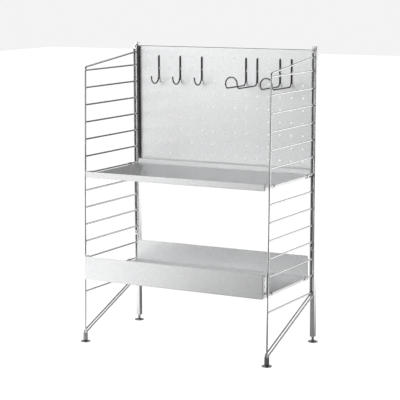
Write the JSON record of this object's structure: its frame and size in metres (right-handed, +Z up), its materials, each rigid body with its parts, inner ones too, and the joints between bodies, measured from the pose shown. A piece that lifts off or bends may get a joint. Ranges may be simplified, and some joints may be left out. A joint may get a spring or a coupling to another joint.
{
  "type": "pegboard tool rack",
  "caption": "Free-standing wire-ladder rack with a pegboard back, a low-edged shelf, a deep tray, wire hooks and levelling feet.",
  "frame": {"origin": "centre of the rack's footprint, on the floor", "axes": "+X to the user's right, -Y is the front, +Z up"},
  "size_m": [0.626, 0.3412, 0.87],
  "materials": {
    "galvanised_wire": "zinc-plated drawn wire, satin",
    "galvanised_sheet": "hot-dip galvanised sheet, satin with a fine spangle",
    "post_steel": "galvanised tube, satin",
    "hook_steel": "dark nickel, polished",
    "screw_steel": "bright zinc",
    "rivet_nut_steel": "yellow zinc",
    "sleeve_steel": "dark zinc, satin",
    "foot_steel": "dark zinc, satin, with a bright edge",
    "insert_plastic": "black nylon"
  },
  "bodies": {
    "frame": {"left_front_rod": "galvanised_wire", "right_front_rod": "galvanised_wire", "left_rungs": "galvanised_wire", "right_rungs": "galvanised_wire", "left_hairpin": "galvanised_wire", "right_hairpin": "galvanised_wire", "left_front_sleeve": "sleeve_steel", "right_front_sleeve": "sleeve_steel", "left_post": "post_steel", "right_post": "post_steel", "left_post_insert": "insert_plastic", "right_post_insert": "insert_plastic", "ladder_screws": "screw_steel", "ladder_washers": "screw_steel", "ladder_rivet_nuts": "rivet_nut_steel", "pegboard": "galvanised_sheet", "pegboard_screws": "screw_steel", "pegboard_rivet_nuts": "rivet_nut_steel"},
    "shelf": {"upper_shelf": "galvanised_sheet"},
    "tray": {"lower_tray": "galvanised_sheet"},
    "left_front_foot": {"left_front_pad": "foot_steel", "left_front_stem": "foot_steel"},
    "right_front_foot": {"right_front_pad": "foot_steel", "right_front_stem": "foot_steel"},
    "left_rear_foot": {"left_rear_pad": "foot_steel", "left_rear_stem": "foot_steel"},
    "right_rear_foot": {"right_rear_pad": "foot_steel", "right_rear_stem": "foot_steel"},
    "hung_j_hook_1": {"j_hook_1": "hook_steel"},
    "hung_j_hook_2": {"j_hook_2": "hook_steel"},
    "hung_j_hook_3": {"j_hook_3": "hook_steel"},
    "hung_double_hook_1": {"double_hook_1": "hook_steel"},
    "hung_double_hook_2": {"double_hook_2": "hook_steel"}
  },
  "joints": [
    {"name": "shelf_lift", "type": "slide", "parent": "frame", "child": "shelf", "axis": [0, 0, 1], "range_m": [0, 0.025]},
    {"name": "tray_lift", "type": "slide", "parent": "frame", "child": "tray", "axis": [0, 0, 1], "range_m": [0, 0.025]},
    {"name": "left_front_foot_screw", "type": "slide", "parent": "frame", "child": "left_front_foot", "axis": [0, 0, 1], "range_m": [-0.01, 0]},
    {"name": "right_front_foot_screw", "type": "slide", "parent": "frame", "child": "right_front_foot", "axis": [0, 0, 1], "range_m": [-0.01, 0]},
    {"name": "left_rear_foot_screw", "type": "slide", "parent": "frame", "child": "left_rear_foot", "axis": [0, 0, 1], "range_m": [-0.01, 0.008]},
    {"name": "right_rear_foot_screw", "type": "slide", "parent": "frame", "child": "right_rear_foot", "axis": [0, 0, 1], "range_m": [-0.01, 0.008]},
    {"name": "j_hook_1_tip", "type": "hinge", "parent": "frame", "child": "hung_j_hook_1", "pos_m": [-0.222, 0.15812, 0.83], "axis": [-1, 0, 0], "range_deg": [0, 20]},
    {"name": "j_hook_2_tip", "type": "hinge", "parent": "frame", "child": "hung_j_hook_2", "pos_m": [-0.148, 0.15812, 0.83], "axis": [-1, 0, 0], "range_deg": [0, 20]},
    {"name": "j_hook_3_tip", "type": "hinge", "parent": "frame", "child": "hung_j_hook_3", "pos_m": [-0.074, 0.15812, 0.83], "axis": [-1, 0, 0], "range_deg": [0, 20]},
    {"name": "double_hook_1_tip", "type": "hinge", "parent": "frame", "child": "hung_double_hook_1", "pos_m": [0.0925, 0.15812, 0.83], "axis": [-1, 0, 0], "range_deg": [0, 20]},
    {"name": "double_hook_2_tip", "type": "hinge", "parent": "frame", "child": "hung_double_hook_2", "pos_m": [0.2035, 0.15812, 0.83], "axis": [-1, 0, 0], "range_deg": [0, 20]}
  ]
}
